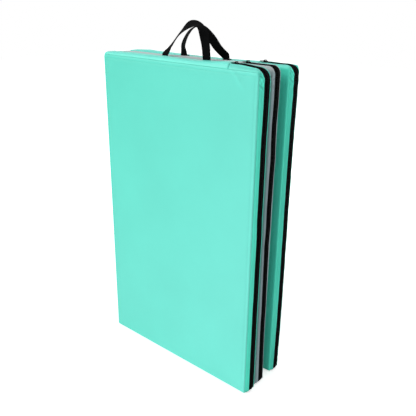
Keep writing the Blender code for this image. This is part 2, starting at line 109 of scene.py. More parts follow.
def ripple(kind, *at, seed):
    """Noise of one kind: its strength, then its ripples per metre along each way of the place."""
    strength, *ripples = kind
    return strength * wave(*(place * count for place, count in zip(at, ripples)), seed=seed)


def smooth(value):
    """An ease between 0 and 1."""
    value = min(max(value, 0.0), 1.0)
    return value * value * (3 - 2 * value)


def hump(off, spread):
    """A bell shape: 1 at no distance off, fading over the spread."""
    return math.exp(-((off / spread) ** 2))


def between(at, keys):
    """The length at a place, read between (place, length) keys in millimetres."""
    return float(np.interp(at * 1000, *zip(*keys))) / 1000


def spaced(low, high, count):
    """Even steps from low to high, both included."""
    return [low + (high - low) * i / count for i in range(count + 1)]


def unit(vectors):
    """Rows scaled to a length of one."""
    return vectors / np.linalg.norm(vectors, axis=1, keepdims=True)


def strides(points):
    """The distance from each point of a line to the next."""
    return np.linalg.norm(np.diff(points, axis=0), axis=1)


def run_along(points):
    """How far along a line each of its points is."""
    return np.concatenate([[0], np.cumsum(strides(points))])


def apart(points, least):
    """Which points of a line stand clear of the one before."""
    return np.concatenate([[True], strides(points) > least])


# Meshes


def show(name, data):
    """An object of a mesh, lamp or camera, in the scene."""
    obj = bpy.data.objects.new(name, data)
    bpy.context.scene.collection.objects.link(obj)
    return obj


def make_mesh(name, points, faces, uv=None, shade=None):
    """An object of points and faces, with a UV map in metres and a shade per point if given."""
    mesh = bpy.data.meshes.new(name)
    mesh.from_pydata([tuple(p) for p in points], [], faces)
    if uv is not None:
        layer = mesh.uv_layers.new(name="UVMap")
        corner_points = np.empty(len(mesh.loops), dtype=np.int32)
        mesh.loops.foreach_get("vertex_index", corner_points)
        layer.data.foreach_set("uv", np.asarray(uv, np.float32)[corner_points].ravel())
    if shade is not None:
        attribute = mesh.attributes.new("shade", "FLOAT", "POINT")
        attribute.data.foreach_set("value", np.asarray(shade, np.float32))
    mesh.shade_smooth()
    return show(name, mesh)


def grid_faces(rows, columns, closed=False):
    """Quads of a grid of points laid out row by row."""
    faces = []
    for a in range(0, (rows - 1) * columns, columns):
        b = a + columns
        for c in range(columns if closed else columns - 1):
            d = (c + 1) % columns
            faces.append((a + c, a + d, b + d, b + c))
    return faces


def end_caps(rows, columns):
    """The first and last faces of a closed grid."""
    return [tuple(range(columns)), tuple(reversed(range((rows - 1) * columns, rows * columns)))]


def outward(obj):
    """Make the normals point out of a closed piece."""
    bm = bmesh.new()
    bm.from_mesh(obj.data)
    bmesh.ops.recalc_face_normals(bm, faces=bm.faces)
    bm.to_mesh(obj.data)
    bm.free()


def thicken(obj, thickness, offset=-1.0):
    """Give a sheet its thickness."""
    shell = obj.modifiers.new("thickness", "SOLIDIFY")
    shell.thickness = thickness
    shell.offset = offset
    shell.use_rim = True


def settle(obj):
    """Apply the modifiers, so that the mesh is final."""
    bpy.context.view_layer.update()
    graph = bpy.context.evaluated_depsgraph_get()
    final = obj.evaluated_get(graph)
    mesh = bpy.data.meshes.new_from_object(final, preserve_all_data_layers=True, depsgraph=graph)
    obj.modifiers.clear()
    obj.data = mesh


def join(objects):
    """One object of several meshes, named as the first."""
    bm = bmesh.new()
    for obj in objects:
        bm.from_mesh(obj.data)
    bm.to_mesh(objects[0].data)
    bm.free()
    for obj in objects[1:]:
        bpy.data.objects.remove(obj)
    objects[0].data.shade_smooth()
    return objects[0]


def seat(obj, panel, slot, *nodes):
    """Put a piece in its panel's place, with its body, slot and the nodes it stands for."""
    obj.data.transform(PLACES[panel])
    obj.data.materials.append(MATERIALS[slot])
    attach(obj, f"{panel}_panel")
    if nodes:
        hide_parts(*nodes)


# The wall's outline, as the CAD has it, at any depth and offset from the skin
CORNER_STEPS = 10
FINE_STEP = 0.0022
FINE_REACH = 0.075


def wall_share(depth):
    """How much of its bulge a wall has at a depth: 0 at the seams and 1 on the level crest."""
    span = SEAM_DEPTH - CREST_FLAT
    past = min(max(abs(depth) - CREST_FLAT, 0.0), span)
    radius = (span**2 + (WALL_ARC * span) ** 2) / (2 * WALL_ARC * span)
    rise = math.sqrt(radius**2 - past**2) - (radius - WALL_ARC * span)
    return max(rise / (WALL_ARC * span), 0.0)


def wall_path(zip_side, start, step):
    """Stations from the top to the base: (stretch of the wall, share of the way along it)."""
    turn = 1 if zip_side else -1
    level = abs(PANEL_WIDTH / 2 - turn * start)
    stations = []
    for kind, length in (("top", level), ("side", PANEL_HEIGHT), ("base", level)):
        at, run = [0.0], 0.0
        while run < length:
            corner_behind = length if kind == "top" else run
            corner_ahead = length if kind == "base" else length - run
            run += FINE_STEP if min(corner_behind, corner_ahead) < FINE_REACH else step
            at.append(min(run / length, 1.0))
        stations += [(kind, share) for share in at]
        if kind != "base":
            stations += [("corner_" + kind, i / CORNER_STEPS) for i in range(1, CORNER_STEPS)]
    return stations


def wall_point(panel, zip_side, start, station, depth, offset):
    """(x, z) and the wall's normal (nx, nz) at a station."""
    bulge, top_rise = BULGES[panel], TOP_RISES[panel]
    share = wall_share(depth)
    turn = 1 if zip_side else -1
    half = PANEL_WIDTH / 2 + share * bulge
    top = TOP_SEAM + share * top_rise
    low = BASE_LIFT - share * BASE_BULGE
    draw = ZIP_CORNER_DRAW if zip_side else PLAIN_CORNER_DRAW
    top_radius = FACE_CORNER_RADIUS + share * draw * min(bulge, CORNER_LIMIT * top_rise)
    base_radius = BASE_CORNER_RADIUS + share * BASE_CORNER_DRAW
    kind, value = station
    radius = base_radius if kind in ("base", "corner_base") else top_radius
    if kind == "top":
        x = start + (turn * (half - radius) - start) * value
        z, nx, nz = top + offset, 0.0, 1.0
    elif kind == "base":
        x = turn * (half - radius) + (start - turn * (half - radius)) * value
        z, nx, nz = low - offset, 0.0, -1.0
    elif kind == "side":
        x, nx, nz = turn * (half + offset), float(turn), 0.0
        z = top - top_radius + (low + base_radius - top + top_radius) * value
    else:
        angle = math.radians(90 - 90 * value if kind == "corner_top" else -90 * value)
        nx, nz = turn * math.cos(angle), math.sin(angle)
        centre = top - radius if kind == "corner_top" else low + radius
        x = turn * (half - radius) + (radius + offset) * nx
        z = centre + (radius + offset) * nz
    return x, max(z, -min(offset, 0.0)), nx, nz


# How far each zip wanders off its panel's middle plane, in millimetres: (height, shift)
ZIP_SHIFTS = {
    "front": (
        (0, 1.6), (50, 0.6), (200, -0.4), (280, -1), (360, 0.4), (500, 1), (600, -0.6), (700, -0.8),
        (850, 0), (950, 2.2), (1000, 1.5),
    ),
    "middle": (
        (0, 5.2), (40, 5.2), (100, 2.8), (180, 1.6), (240, 0.8), (290, 1.2), (360, 0), (400, -1.6),
        (440, -1.4), (500, -3), (560, 0), (620, -2), (700, 0.3), (760, 2.8), (810, 0.4), (860, 0),
        (930, 2.4), (1000, 2.4),
    ),
    "rear": (
        (0, -2.2), (60, -2.4), (140, -0.6), (240, 1), (400, 0.5), (550, -0.8), (700, -0.8), (850, 0),
        (930, 2.6), (1000, 2),
    ),
}
# How far each top wall lies off the drawn crest, up to the zip's end, in millimetres: (x, lift)
TOP_LIFTS = {
    "front": (
        (-300, -5), (-261, -3.2), (-214, -2.6), (-104, -2.5), (20, -2), (75, -1.8), (129, 0), (160, 2.4),
        (181, 3.4), (192, 2.6), (198, 1.4), (206, 0),
    ),
    "middle": ((-300, -6), (-242, -5), (-155, -4), (-69, -2.8), (31, -1), (88, -1.3), (200, 0)),
    "rear": (
        (-300, -1), (-232, 2.4), (-210, 1.5), (-126, 0.5), (-27, -1.9), (30, -2.4), (85, -1.9), (200, 0),
    ),
}
TOP_LIFTS_END = 0.206
# And from there to the corner, beside the zip
CORNER_SAG = {
    "front": ((195, 0), (205, 1.4), (235, 1.2), (255, -0.4), (275, -2.4), (310, -3.4)),
    "middle": ((285, 0), (310, -0.8)),
    "rear": ((285, 0), (310, 0.8)),
}
# How much narrower the zip side's top is than its upright wall, and how far it tilts
TOP_NARROWING = {"front": 0.14, "middle": 0.06, "rear": 0.28}
TOP_TILT = 0.05
TILT_FROM = 0.19
TILT_EASE = 0.02
TILT_REACH = 0.014
# Creases across the zip side's upper corner: (height, how far the vinyl stands out there)
CORNER_CREASES = ((0.996, -0.0022), (0.984, 0.002), (0.973, -0.0014), (0.9605, 0.0011), (0.95, -0.0008))
CREASE_SPREAD = 0.0042
# The stretch under the slider's run, which lies level: (where it starts or ends, ease)
RUN_START = (0.186, 0.01)
RUN_END = (0.287, 0.01)
RUN_CALM = 0.95
# The rear panel's aft upper corner, drawn out into a point
EAR_REACH = 0.0034
EAR_SPREAD = 0.011
# Depth to which a wall moves as one with its zip
WALL_CALM = 0.012
# Unevenness of the walls, each kind as ripple reads it
TOP_WANDER = (0.001, 14, 1)
WALL_WANDER = (0.0006, 22, 22)
WALL_SWELL = (0.0009, 11, 11)
SLACK_RIPPLE = (0.0008, 55, 55, 30)
CORNER_PUCKER = (0.0024, 70, 70, 25)
PUCKER_PLACE = (0.27, 0.47)
PUCKER_SPREAD = (0.07, 0.08)
BASE_STIFFNESS = 0.2
WALL_SEEDS = {"front": 11.0, "middle": 23.0, "rear": 37.0}
PLAIN_SEED = 5


def upright_share(nx):
    """1 on an upright wall, 0 on a level one."""
    return smooth((abs(nx) - 0.2) / 0.6)


def ear(panel, x, z, depth):
    """How far the rear panel's aft upper corner is drawn out, along X and Z alike."""
    if panel != "rear" or depth < 0:
        return 0.0
    near = math.hypot(x - PANEL_WIDTH / 2, z - TOP_SEAM)
    return EAR_REACH * smooth((depth - 0.012) / 0.008) * hump(near, EAR_SPREAD)


def looseness(x, nz):
    """How free the zip's side is to ripple: hardly at all under the slider's run."""
    if nz <= 0:
        return 1.0
    (start, start_ease), (end, end_ease) = RUN_START, RUN_END
    return 1.0 - RUN_CALM * smooth((x - start) / start_ease) * (1 - smooth((x - end) / end_ease))


def wall_moves(panel, zip_side, x, z, nx, nz, depth):
    """(shift along Y, rise off the wall) that turn the drawn wall into a sewn one."""
    hold = 1 - smooth((abs(depth) - WALL_CALM) / (SEAM_DEPTH - WALL_CALM))
    slack = 4 * hold * (1 - hold)
    seed = WALL_SEEDS[panel] + (0 if zip_side else PLAIN_SEED)
    loose = looseness(x, nz) if zip_side else 1.0
    shift = hold * loose * ripple(WALL_WANDER, x, z, seed=seed + 1)
    rise = hold * loose * ripple(WALL_SWELL, x, z, seed=seed + 2)
    rise += slack * ripple(SLACK_RIPPLE, x, z, depth, seed=seed + 3)
    corner = hump(abs(x) - PUCKER_PLACE[0], PUCKER_SPREAD[0])
    corner *= hump(abs(z - 0.5) - PUCKER_PLACE[1], PUCKER_SPREAD[1])
    rise += slack * corner * ripple(CORNER_PUCKER, x, z, depth, seed=seed + 4)
    if zip_side:
        upright = abs(nx)
        shift += hold * upright * between(z, ZIP_SHIFTS[panel])
        shift += hold * (1 - upright) * loose * ripple(TOP_WANDER, x, nz, seed=seed)
    if zip_side and panel != "middle" and depth < 0:
        for height, amount in CORNER_CREASES:
            rise += slack * upright_share(nx) * amount * hump(z - height, CREASE_SPREAD)
    if nz > 0 and x < TOP_LIFTS_END:
        rise += hold * nz * between(x, TOP_LIFTS[panel])
    if nz > 0 and zip_side:
        rise += hold * nz * between(x, CORNER_SAG[panel])
        shift -= depth * hold * TOP_NARROWING[panel] * (1 - upright_share(nx))
        tilt = TOP_TILT * float(np.clip(depth, -TILT_REACH, TILT_REACH)) * smooth(3 * hold)
        rise += nz * smooth((x - TILT_FROM) / TILT_EASE) * tilt
    if nz < -0.5:
        rise *= BASE_STIFFNESS
    return shift, rise


# Where a handle's feet come up beside the top wall, they draw it in
STRAP_TUCK = 0.0022
TUCK_FROM = 0.014
TUCK_EASE = 0.006
TUCK_SIDE_EASE = 0.005


def handle_feet(panel):
    """Where a panel's handle comes up, and on which side of the panel."""
    if panel not in HANDLES:
        return (), 1
    keys, side = HANDLES[panel]
    return (keys[0][0] / 1000, keys[-1][0] / 1000), side


def strap_tuck(panel, x, nz, depth):
    """How far along Y the feet of a handle draw the wall in."""
    feet, side = handle_feet(panel)
    if nz <= 0.7 or depth * side <= 0:
        return 0.0
    near = sum(1 - smooth((abs(x - foot) - WEBBING_WIDTH / 2) / TUCK_SIDE_EASE) for foot in feet)
    return -side * near * STRAP_TUCK * smooth((abs(depth) - TUCK_FROM) / TUCK_EASE)


# Shades: streaks; painted shade in the tuck beside the hem, a painted highlight on the hem's raised
# ridge, painted shade and light in patches on the puckered upper corners, a painted contact shadow along
# the base, and painted shade over the front panel's zip side
# Painted shade: the front panel's zip side is painted darker than the others
WALL_SHADES = {"front": -0.45, "middle": 0.0, "rear": 0.0}
STREAKS = (0.25, 420, 9)
FINE_STREAKS = (0.12, 900, 30)
TUCK_SHADE = (-0.7, 0.017, 0.0011)
HEM_PAINTED_HIGHLIGHT = (0.75, 0.0008, 0.0014)
PUCKER_PAINTED_SHADE = (4.5, 150, 240)
PUCKER_SHADE_DROP = 0.022
PUCKER_SHADE_SPREAD = 0.024
# Painted contact shadow along the base
BASE_SHADE = -1.6


def wall_shade(panel, zip_side, x, z, run, depth):
    """How much paler or darker a wall is at a place: streaks, with painted shade, highlight and shadow.
    """
    d = abs(depth)
    shade = ripple(STREAKS, d, run, seed=5.0) + ripple(FINE_STREAKS, d, run, seed=9.0)
    if zip_side:
        # Painted shade over the whole zip side of the front panel
        shade += WALL_SHADES[panel]
        # Painted shade in the tuck beside the hem
        amount, place, spread = TUCK_SHADE
        shade += amount * hump(d - place, spread)
        # Painted highlight along the hem's raised ridge
        amount, place, spread = HEM_PAINTED_HIGHLIGHT
        shade += amount * hump(d - HEMS[panel] - place, spread)
        # Painted shade and light in patches over the puckered upper corner of the zip side
        corner = hump(math.hypot(x - PANEL_WIDTH / 2, z - TOP_SEAM + PUCKER_SHADE_DROP), PUCKER_SHADE_SPREAD)
        shade += corner * ripple(PUCKER_PAINTED_SHADE, z, d, seed=31.0)
    # Painted contact shadow on the strip of base wall between seam and floor
    if z < BASE_LIFT + 0.0005 and depth < 0:
        shade += BASE_SHADE
    return shade


def wall_sheet(name, panel, zip_side, start, step, section):
    """A sheet along the wall: one row per station, one column per (depth, offset)."""
    middle = MIDDLES[panel]
    points, uv, shade = [], [], []
    run = 0.0
    before = None
    stations = wall_path(zip_side, start, step)
    for station in stations:
        row = []
        for depth, offset in section:
            x, z, nx, nz = wall_point(panel, zip_side, start, station, depth, offset)
            tuck = 0.0 if zip_side else strap_tuck(panel, x, nz, depth)
            shift, rise = wall_moves(panel, zip_side, x, z, nx, nz, depth)
            out = ear(panel, x, z, depth)
            height = max(z + nz * rise + out, -min(offset, 0.0))
            row.append((x + nx * rise + out, middle + (depth + tuck) + shift, height))
        here = Vector(row[len(row) // 2])
        run += (here - before).length if before is not None else 0.0
        before = here
        points += row
        uv += [(run, depth) for depth, _ in section]
        shade += [wall_shade(panel, zip_side, x, z, run, depth) for depth, _ in section]
    return make_mesh(name, points, grid_faces(len(stations), len(section)), uv, shade)


# Walls and zips
HEMS = {"front": 0.0126, "middle": 0.0117, "rear": 0.0138}
HEM_WIDTH = 0.003
HEM_VINYL = 0.0006
SEAM_GAP = 0.0005
PLAIN_COLUMNS = 20
PLAIN_STEP = 0.006
ZIP_STEP = 0.005
# The skin's turn at a seam: (distance in from the seam, offset)
SEAM_TURN = ((0.0001, -0.00025), (0.0001, -0.001), (0.0006, -0.003))
# The raised hem and its fold back under itself: (distance out from the hem's edge, offset)
HEM_SECTION = (
    (HEM_WIDTH, 0.0001), (HEM_WIDTH - 0.0006, 0.0004), (HEM_WIDTH / 2, 0.00035), (0.001, 0.0004),
    (0.0004, 0.0002), (0.0001, -0.0001), (0.0002, -0.0005),
)
HEM_THREAD = (0.0031, 0.0006, 0.0005)
HEM_STITCH = 0.004
HEM_THREAD_LIFT = 0.00042
THREAD_REST = 0.0004
THREAD_MARGIN = 0.002
TAPE_TOP = -0.0008
TAPE_BOTTOM = -0.0014
TAPE_TAIL = 0.014
TAPE_UNDER_HEM = 0.002
TAPE_COLUMNS = (0.0125, 0.0105, 0.009, 0.0075, 0.006, 0.0048)
# The tape's ribbed beading beside the chain: (distance from the chain's middle, lift)
TAPE_BEAD = ((0.0042, 0.00012), (0.0034, 0.0001), (0.0025, 0.0), (0.0012, 0.0))
TAPE_STEP = 0.006
TRACK_STEP = 0.003


def seam_turn(side):
    """The last points of a wall's section: the skin turns in at the seam."""
    return [(side * (SEAM_DEPTH - inset), offset) for inset, offset in SEAM_TURN]


def plain_boxing(panel):
    """The wall without a zip, round the left side."""
    edge = SEAM_DEPTH - SEAM_GAP
    section = [(d, 0.0) for d in spaced(-edge, edge, PLAIN_COLUMNS)]
    section = seam_turn(-1)[::-1] + section + seam_turn(1)
    obj = wall_sheet(f"{panel}_boxing", panel, False, ZIP_END, PLAIN_STEP, section)
    thicken(obj, VINYL)
    seat(obj, panel, SLOTS[panel], f"{panel}_plain_boxing")


def zip_wall(panel, side, word):
    """The wall beside the zip: seam, sheet and hem."""
    edge = HEMS[panel]
    section = seam_turn(1)[::-1]
    section += [(d, 0.0) for d in spaced(SEAM_DEPTH - SEAM_GAP, edge + HEM_WIDTH + 0.0008, 6)]
    section += [(edge + out, offset) for out, offset in HEM_SECTION]
    section = [(side * d, o) for d, o in section]
    obj = wall_sheet(f"{panel}_zip_side_{word}", panel, True, ZIP_END, ZIP_STEP, section)
    if side < 0:
        obj.data.flip_normals()
    thicken(obj, HEM_VINYL)
    seat(obj, panel, SLOTS[panel], f"{panel}_zip_wall_{word}")


def zip_tape(panel, side, word):
    """The woven tape between hem and chain, with its ribbed beading beside the chain."""
    section = [(side * d, TAPE_TOP) for d in (HEMS[panel] + TAPE_UNDER_HEM, *TAPE_COLUMNS)]
    section += [(side * d, TAPE_TOP + lift) for d, lift in TAPE_BEAD]
    obj = wall_sheet(f"{panel}_tape_{word}", panel, True, ZIP_END - TAPE_TAIL, TAPE_STEP, section)
    if side < 0:
        obj.data.flip_normals()
    thicken(obj, TAPE_TOP - TAPE_BOTTOM)
    seat(obj, panel, "black_tape", f"{panel}_zip_tape_{word}")


def track(panel, start, depth, offset=0.0):
    """Points, outward normals and run along the zip's wall, at one depth and offset."""
    points, normals = [], []
    for station in wall_path(True, start, TRACK_STEP):
        x, z, nx, nz = wall_point(panel, True, start, station, depth, offset)
        shift, rise = wall_moves(panel, True, x, z, nx, nz, depth)
        points.append((x + nx * rise, MIDDLES[panel] + depth + shift, max(z + nz * rise, 0.0)))
        normals.append((nx, 0.0, nz))
    points = np.array(points)
    keep = apart(points, 1e-6)
    return points[keep], np.array(normals)[keep], run_along(points[keep])


def along(points, normals, run, at):
    """Frames on a track at given runs: position, forward, sideways, up."""
    place, ahead, behind = (
        np.stack([np.interp(at + step, run, points[:, i]) for i in range(3)], -1)
        for step in (0.0, 0.0005, -0.0005)
    )
    forward = unit(ahead - behind)
    up = np.stack([np.interp(at, run, normals[:, i]) for i in range(3)], -1)
    up = unit(up - forward * (up * forward).sum(1, keepdims=True))
    return place, forward, np.cross(up, forward), up


def scatter(name, shape, faces, frames):
    """One mesh of many copies of a small shape, each set in its own frame."""
    place, *ways = frames
    shape = np.asarray(shape, float)
    points = place[:, None, :]
    for i, way in enumerate(ways):
        points = points + shape[None, :, i : i + 1] * way[:, None, :]
    every = [tuple(i + k * len(shape) for i in face) for k in range(len(place)) for face in faces]
    return make_mesh(name, points.reshape(-1, 3), every)


# A stitch or tooth along its length: (place, thickness, sink)
PILL_RINGS = (
    (-0.5, 0.25, -0.5), (-0.36, 0.85, 0.0), (0.0, 1.0, 0.12), (0.36, 0.85, 0.0), (0.5, 0.25, -0.5),
)


def pill(length, width, height, sides=6):
    """A thread stitch or tooth: a rounded bar along X."""
    points = []
    for x, scale, sink in PILL_RINGS:
        for i in range(sides):
            angle = 2 * math.pi * i / sides
            y = width / 2 * scale * math.cos(angle)
            points.append((x * length, y, height / 2 * (scale * math.sin(angle) + sink)))
    rings = len(PILL_RINGS)
    return points, grid_faces(rings, sides, closed=True) + end_caps(rings, sides)


def sew(name, panel, thread, pitch, points, normals, run):
    """A row of stitches along a line."""
    at = np.arange(THREAD_MARGIN, run[-1] - THREAD_MARGIN, pitch)
    obj = scatter(name, *pill(*thread), along(points, normals, run, at))
    outward(obj)
    seat(obj, panel, SLOTS[panel])
    return obj


def hem_stitches(panel, side, word):
    """A row of thread along the hem beside the zip."""
    depth = side * (HEMS[panel] + HEM_WIDTH / 2)
    points, normals, run = track(panel, ZIP_END + THREAD_MARGIN, depth, HEM_THREAD_LIFT)
    points[:, 2] = np.maximum(points[:, 2], THREAD_REST)
    sew(f"{panel}_hem_thread_{word}", panel, HEM_THREAD, HEM_STITCH, points, normals, run)


# The zip's closed chain
TOOTH = (0.0036, 0.00115, 0.0017)
TOOTH_SIDES = 5
TOOTH_PITCH = 0.0015
TOOTH_REACH = 0.00105
TOOTH_LEAN = 0.16
CHAIN_LIFT = 0.0001
CHAIN_REST = 0.0011
CHAIN_START = SLIDER_X - 0.002
CORD_STEP = 0.004
CORD_WIDTH = 0.0011
CORD_HEIGHT = 0.00045
CORD_DROP = 0.0003
CORD_SIDES = 8


def zip_chain(panel):
    """The closed coil: two rows of nylon loops that mesh over the middle, on their cord."""
    points, normals, run = track(panel, CHAIN_START, 0.0)
    points = points + normals * CHAIN_LIFT
    points[:, 2] = np.maximum(points[:, 2], CHAIN_REST)
    at = np.arange(TOOTH_PITCH, run[-1] - TOOTH_PITCH, TOOTH_PITCH)
    made = []
    tooth, faces = pill(*TOOTH, TOOTH_SIDES)
    across = [(-y, x, z) for x, y, z in tooth]
    for side in (-1, 1):
        leaning = [(x + TOOTH_LEAN * side * y, y + side * TOOTH_REACH, z) for x, y, z in across]
        frames = along(points, normals, run, at + (TOOTH_PITCH / 2 if side > 0 else 0.0))
        made.append(scatter(f"{panel}_teeth_{side}", leaning, faces, frames))
    place, _, sideways, up = along(points, normals, run, np.arange(0.0, run[-1], CORD_STEP))
    angles = spaced(0, 2 * math.pi, CORD_SIDES)[:-1]
    rib = [(CORD_WIDTH * math.cos(a), CORD_HEIGHT * math.sin(a) - CORD_DROP) for a in angles]
    rows = [place[i] + y * sideways[i] + z * up[i] for i in range(len(place)) for y, z in rib]
    faces = grid_faces(len(place), CORD_SIDES, closed=True) + end_caps(len(place), CORD_SIDES)
    cord = make_mesh(f"{panel}_chain", rows, faces)
    joined = join([cord] + made)
    outward(joined)
    seat(joined, panel, "black_tape", f"{panel}_zip_coil")


def hardware(panel):
    """The CAD's slider and pull stay, with eased edges and their enamel."""
    for piece in ("slider", "pull"):
        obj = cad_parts[f"{panel}_zip_{piece}"]
        obj.data.materials.clear()
        obj.data.materials.append(MATERIALS["black_zip_metal"])
        bevel = obj.modifiers.new("eased", "BEVEL")
        bevel.width = 0.00022
        bevel.segments = 2
        bevel.angle_limit = math.radians(35)
        obj.data.shade_smooth()


# Face sheets
FACE_STEPS = (
    0.0, 0.00012, 0.0005, 0.0011, 0.0019, 0.0029, 0.004, 0.006, 0.0082, 0.0098, 0.0106, 0.0114,
    0.0124, 0.0145, 0.0175, 0.0205, 0.0225, 0.0245, 0.027, 0.032, 0.038, 0.045,
)
FACE_CELL = 0.006
FACE_SQUEEZE = 0.045
# The face's edge turned in under the seam: (distance in, drop below the seam)
FACE_HEM = ((0.0004, 0.0), (0.003, 0.0003))
STITCH_INSET = 0.011
STITCH_GROOVE = 0.0004
STITCH_SPREAD = 0.0011
STITCH_CORNER = 0.006
FACE_THREAD = (0.0036, 0.0007, 0.0006)
FACE_STITCH = 0.0046
# The seam allowance under the vinyl, which shows as a low step
ALLOWANCE_END = 0.0225
ALLOWANCE_STEP = 0.00018
# The slanting fold in the front face: its ends from the face's middle
CREASE_FROM = (0.213, 0.497)
CREASE_TO = (0.262, 0.442)
CREASE_DEPTH = 0.0011
# Painted highlight on the crease's ridge and painted shade in its valley, as a share of its height
CREASE_SHADE = 420
# Unevenness of the faces, each kind as ripple reads it
FACE_SWELLS = ((0.0011, 4.2, 3.4), (0.0004, 11, 9))
SEAM_TUG = (0.0007, 62, 14)
CORNER_TUG = (0.0011, 40, 8)
FACE_CLOUDS = (0.12, 7, 5)
CROWN_REACH = 0.09
HIDDEN_FACE = 0.25
FACE_LOWEST = -0.0009
FACE_SEEDS = {"front": 3.0, "middle": 7.0, "rear": 13.0}
AFT_SEED = 40.0


def face_axis(half):
    """Coordinates across a face, close together near its edges."""
    edge = [half - step for step in FACE_STEPS]
    inner = half - FACE_STEPS[-1]
    middle = spaced(-inner, inner, int(2 * inner / FACE_CELL))[1:-1]
    return [-e for e in edge] + middle + edge[::-1]


def face_inset(x, z):
    """How far a point of the face is inside its rounded outline, and the outline's normal there."""
    radius = FACE_CORNER_RADIUS if z > 0 else BASE_CORNER_RADIUS
    qx = abs(x) - (PANEL_WIDTH / 2 - radius)
    qz = abs(z) - (PANEL_HEIGHT / 2 - radius)
    sx, sz = math.copysign(1, x), math.copysign(1, z)
    if qx > 0 and qz > 0:
        far = math.hypot(qx, qz)
        return radius - far, sx * qx / far, sz * qz / far
    if qx > qz:
        return radius - qx, sx, 0.0
    return radius - qz, 0.0, sz


def crease(x, z):
    """The slanting fold: a ridge with a shallow valley beside it, widening along its run."""
    ax, az = CREASE_FROM
    bx, bz = CREASE_TO
    length = math.hypot(bx - ax, bz - az)
    ux, uz = (bx - ax) / length, (bz - az) / length
    run = (x - ax) * ux + (z - az) * uz
    off = (x - ax) * uz - (z - az) * ux
    share = smooth(run / 0.015 + 0.6) * (1 - smooth((run - 0.4 * length) / (0.6 * length)))
    spread = 0.0035 + 0.05 * max(run, 0.0)
    fold = hump(off, spread) - 0.7 * hump(off + 2.0 * spread, 1.3 * spread)
    return CREASE_DEPTH * share * fold


def face_height(panel, side, x, z, inset, crown):
    """Height of the face's skin over the panel's middle plane."""
    inset = max(inset, 0.0)
    seed = FACE_SEEDS[panel] + (0.0 if side < 0 else AFT_SEED)
    height = SEAM_DEPTH + EDGE_RADIUS
    if inset < EDGE_RADIUS:
        height = SEAM_DEPTH + math.sqrt(max(EDGE_RADIUS**2 - (EDGE_RADIUS - inset) ** 2, 0.0))
    open_side = 1.0 if crown else HIDDEN_FACE
    rise = crown * (1 - (1 - min(inset / CROWN_REACH, 1.0)) ** 2)
    hold = smooth(inset / 0.01)
    swell = sum(ripple(kind, x, z, seed=seed + i) for i, kind in enumerate(FACE_SWELLS))
    rise += open_side * smooth((inset - 0.02) / 0.12) * swell
    allowance = smooth((inset - 0.0045) / 0.004) * (1 - smooth((inset - ALLOWANCE_END + 0.0012) / 0.003))
    rise += allowance * ALLOWANCE_STEP - STITCH_GROOVE * hump(inset - STITCH_INSET, STITCH_SPREAD)
    if panel == "front" and side < 0:
        rise += crease(x, z)
    side_edge = PANEL_WIDTH / 2 - abs(x)
    end_edge = PANEL_HEIGHT / 2 - abs(z)
    nearer = 1 - smooth(0.5 + (side_edge - end_edge) / 0.03)
    tug = nearer * ripple(SEAM_TUG, z, x, seed=seed + 2)
    tug += (1 - nearer) * ripple(SEAM_TUG, x, z, seed=seed + 3)
    rise += open_side * hold * math.exp(-inset / 0.02) * tug
    corner = hump(math.hypot(side_edge, end_edge), 0.075)
    rise += open_side * hold * corner * ripple(CORNER_TUG, x - z, x + z, seed=seed + 4)
    return height + max(rise, FACE_LOWEST)


def face_shade(panel, side, x, z, inset):
    """Clouds of tone, a painted highlight on the rolled edge, painted shade at the seam and in the
    stitch groove, and the crease's painted highlight and shade.
    """
    shade = ripple(FACE_CLOUDS, x, z, seed=21.0)
    # Painted highlight where the rolled edge turns to the flat face
    shade += 0.3 * hump(inset - 0.0045, 0.0025)
    # Painted shade right at the seam
    shade -= 0.1 * (1 - smooth(inset / 0.0022))
    # Painted shade in the stitch groove
    shade -= 0.12 * hump(inset - STITCH_INSET, 0.0013)
    if panel == "front" and side < 0:
        # Painted highlight on the crease's ridge, painted shade in its valley
        shade += CREASE_SHADE * crease(x, z)
    return shade


def face_sheet(panel, side, word):
    """One face: rolled over its edges, sewn down, puckered at the seams and eased over the foam."""
    middle, crown = MIDDLES[panel], CROWNS[panel][side]
    xs = face_axis(PANEL_WIDTH / 2)
    zs = face_axis(PANEL_HEIGHT / 2)
    points, uv, shade = [], [], []
    for z in zs:
        end = PANEL_HEIGHT / 2 - abs(z)
        radius = FACE_CORNER_RADIUS if z > 0 else BASE_CORNER_RADIUS
        lost = 0.0
        if end < radius:
            lost = radius - math.sqrt(max(radius**2 - (radius - end) ** 2, 0.0))
        for x in xs:
            past = max(abs(x) - (PANEL_WIDTH / 2 - FACE_SQUEEZE), 0.0) / FACE_SQUEEZE
            px = x - math.copysign(past * lost, x)
            inset, _, _ = face_inset(px, z)
            height = face_height(panel, side, px, z, inset, crown)
            out = ear(panel, px, z + MID_HEIGHT, side * height)
            points.append((px + out, middle + side * height, z + MID_HEIGHT + out))
            uv.append((px, z))
            shade.append(face_shade(panel, side, px, z, inset))
    rows, columns = len(zs), len(xs)
    faces = grid_faces(rows, columns)
    grid = np.arange(rows * columns).reshape(rows, columns)
    rim = [*grid[0], *grid[1:, -1], *grid[-1, -2::-1], *grid[-2:0:-1, 0]]
    rim = [int(index) for index in rim]
    for inward, drop in FACE_HEM:
        ring = list(range(len(points), len(points) + len(rim)))
        for index in rim:
            x, _, z = points[index]
            _, nx, nz = face_inset(x, z - MID_HEIGHT)
            points.append((x - nx * inward, middle + side * (SEAM_DEPTH - drop), z - nz * inward))
            uv.append((x, z - MID_HEIGHT))
            # Painted shade on the face's edge where it turns in under the seam
            shade.append(-0.2)
        for k in range(len(rim)):
            j = (k + 1) % len(rim)
            faces.append((rim[k], ring[k], ring[j], rim[j]))
        rim = ring
    obj = make_mesh(f"{panel}_face_{word}_sheet", points, faces, uv, shade)
    if side > 0:
        obj.data.flip_normals()
    thicken(obj, VINYL)
    seat(obj, panel, SLOTS[panel], f"{panel}_face_{word}")
    if crown:
        obj.data.materials[0] = MATERIALS["mint_face"]


